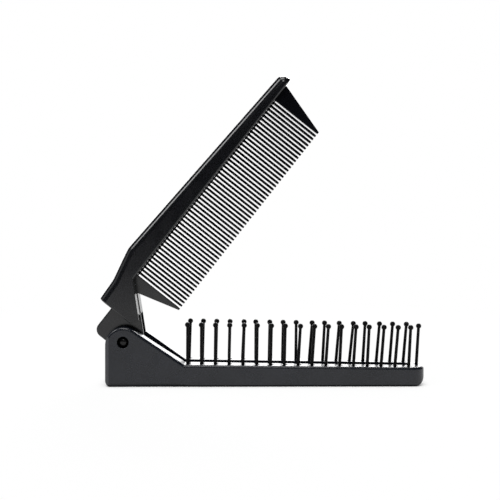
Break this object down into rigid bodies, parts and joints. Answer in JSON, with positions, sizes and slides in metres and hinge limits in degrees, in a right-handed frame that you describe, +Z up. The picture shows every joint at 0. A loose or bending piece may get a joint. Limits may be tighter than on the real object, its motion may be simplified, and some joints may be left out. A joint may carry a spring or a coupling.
{
  "type": "folding travel brush",
  "caption": "Pocket hairbrush: a narrow body with rows of ball-tipped pins and a fine-toothed comb that folds down between them on a hinge pin.",
  "frame": {"origin": "on the flat rest face, straight below the hinge axis, in the middle of the brush's width", "axes": "+X along the brush from the hinge to the tip, +Y along the hinge axis, +Z up from the rest face"},
  "size_m": [0.1233, 0.0212, 0.1164],
  "materials": {
    "body_plastic": "satin moulded charcoal plastic",
    "cover_plastic": "fine matt moulded plastic",
    "comb_plastic": "satin moulded black plastic",
    "bristle_plastic": "smooth black nylon",
    "hinge_plastic": "smooth black plastic"
  },
  "bodies": {
    "brush": {"brush_body": "body_plastic", "bottom_cover": "cover_plastic", "hinge_pin": "hinge_plastic", "hinge_pin_cap": "hinge_plastic", "bristle_near_01": "bristle_plastic", "bristle_near_02": "bristle_plastic", "bristle_near_03": "bristle_plastic", "bristle_near_04": "bristle_plastic", "bristle_near_05": "bristle_plastic", "bristle_near_06": "bristle_plastic", "bristle_near_07": "bristle_plastic", "bristle_near_08": "bristle_plastic", "bristle_near_09": "bristle_plastic", "bristle_near_10": "bristle_plastic", "bristle_near_11": "bristle_plastic", "bristle_near_12": "bristle_plastic", "bristle_near_13": "bristle_plastic", "bristle_near_14": "bristle_plastic", "bristle_near_15": "bristle_plastic", "bristle_near_16": "bristle_plastic", "bristle_near_17": "bristle_plastic", "bristle_far_01": "bristle_plastic", "bristle_far_02": "bristle_plastic", "bristle_far_03": "bristle_plastic", "bristle_far_04": "bristle_plastic", "bristle_far_05": "bristle_plastic", "bristle_far_06": "bristle_plastic", "bristle_far_07": "bristle_plastic", "bristle_far_08": "bristle_plastic", "bristle_far_09": "bristle_plastic", "bristle_far_10": "bristle_plastic", "bristle_far_11": "bristle_plastic", "bristle_far_12": "bristle_plastic", "bristle_far_13": "bristle_plastic", "bristle_far_14": "bristle_plastic", "bristle_far_15": "bristle_plastic", "bristle_far_16": "bristle_plastic", "bristle_far_17": "bristle_plastic", "bristle_end": "bristle_plastic"},
    "comb": {"comb": "comb_plastic"}
  },
  "joints": [
    {"name": "comb_fold", "type": "hinge", "parent": "brush", "child": "comb", "pos_m": [0, 0, 0.01655], "axis": [0, -1, 0], "range_deg": [-48.8, 128.2]}
  ]
}
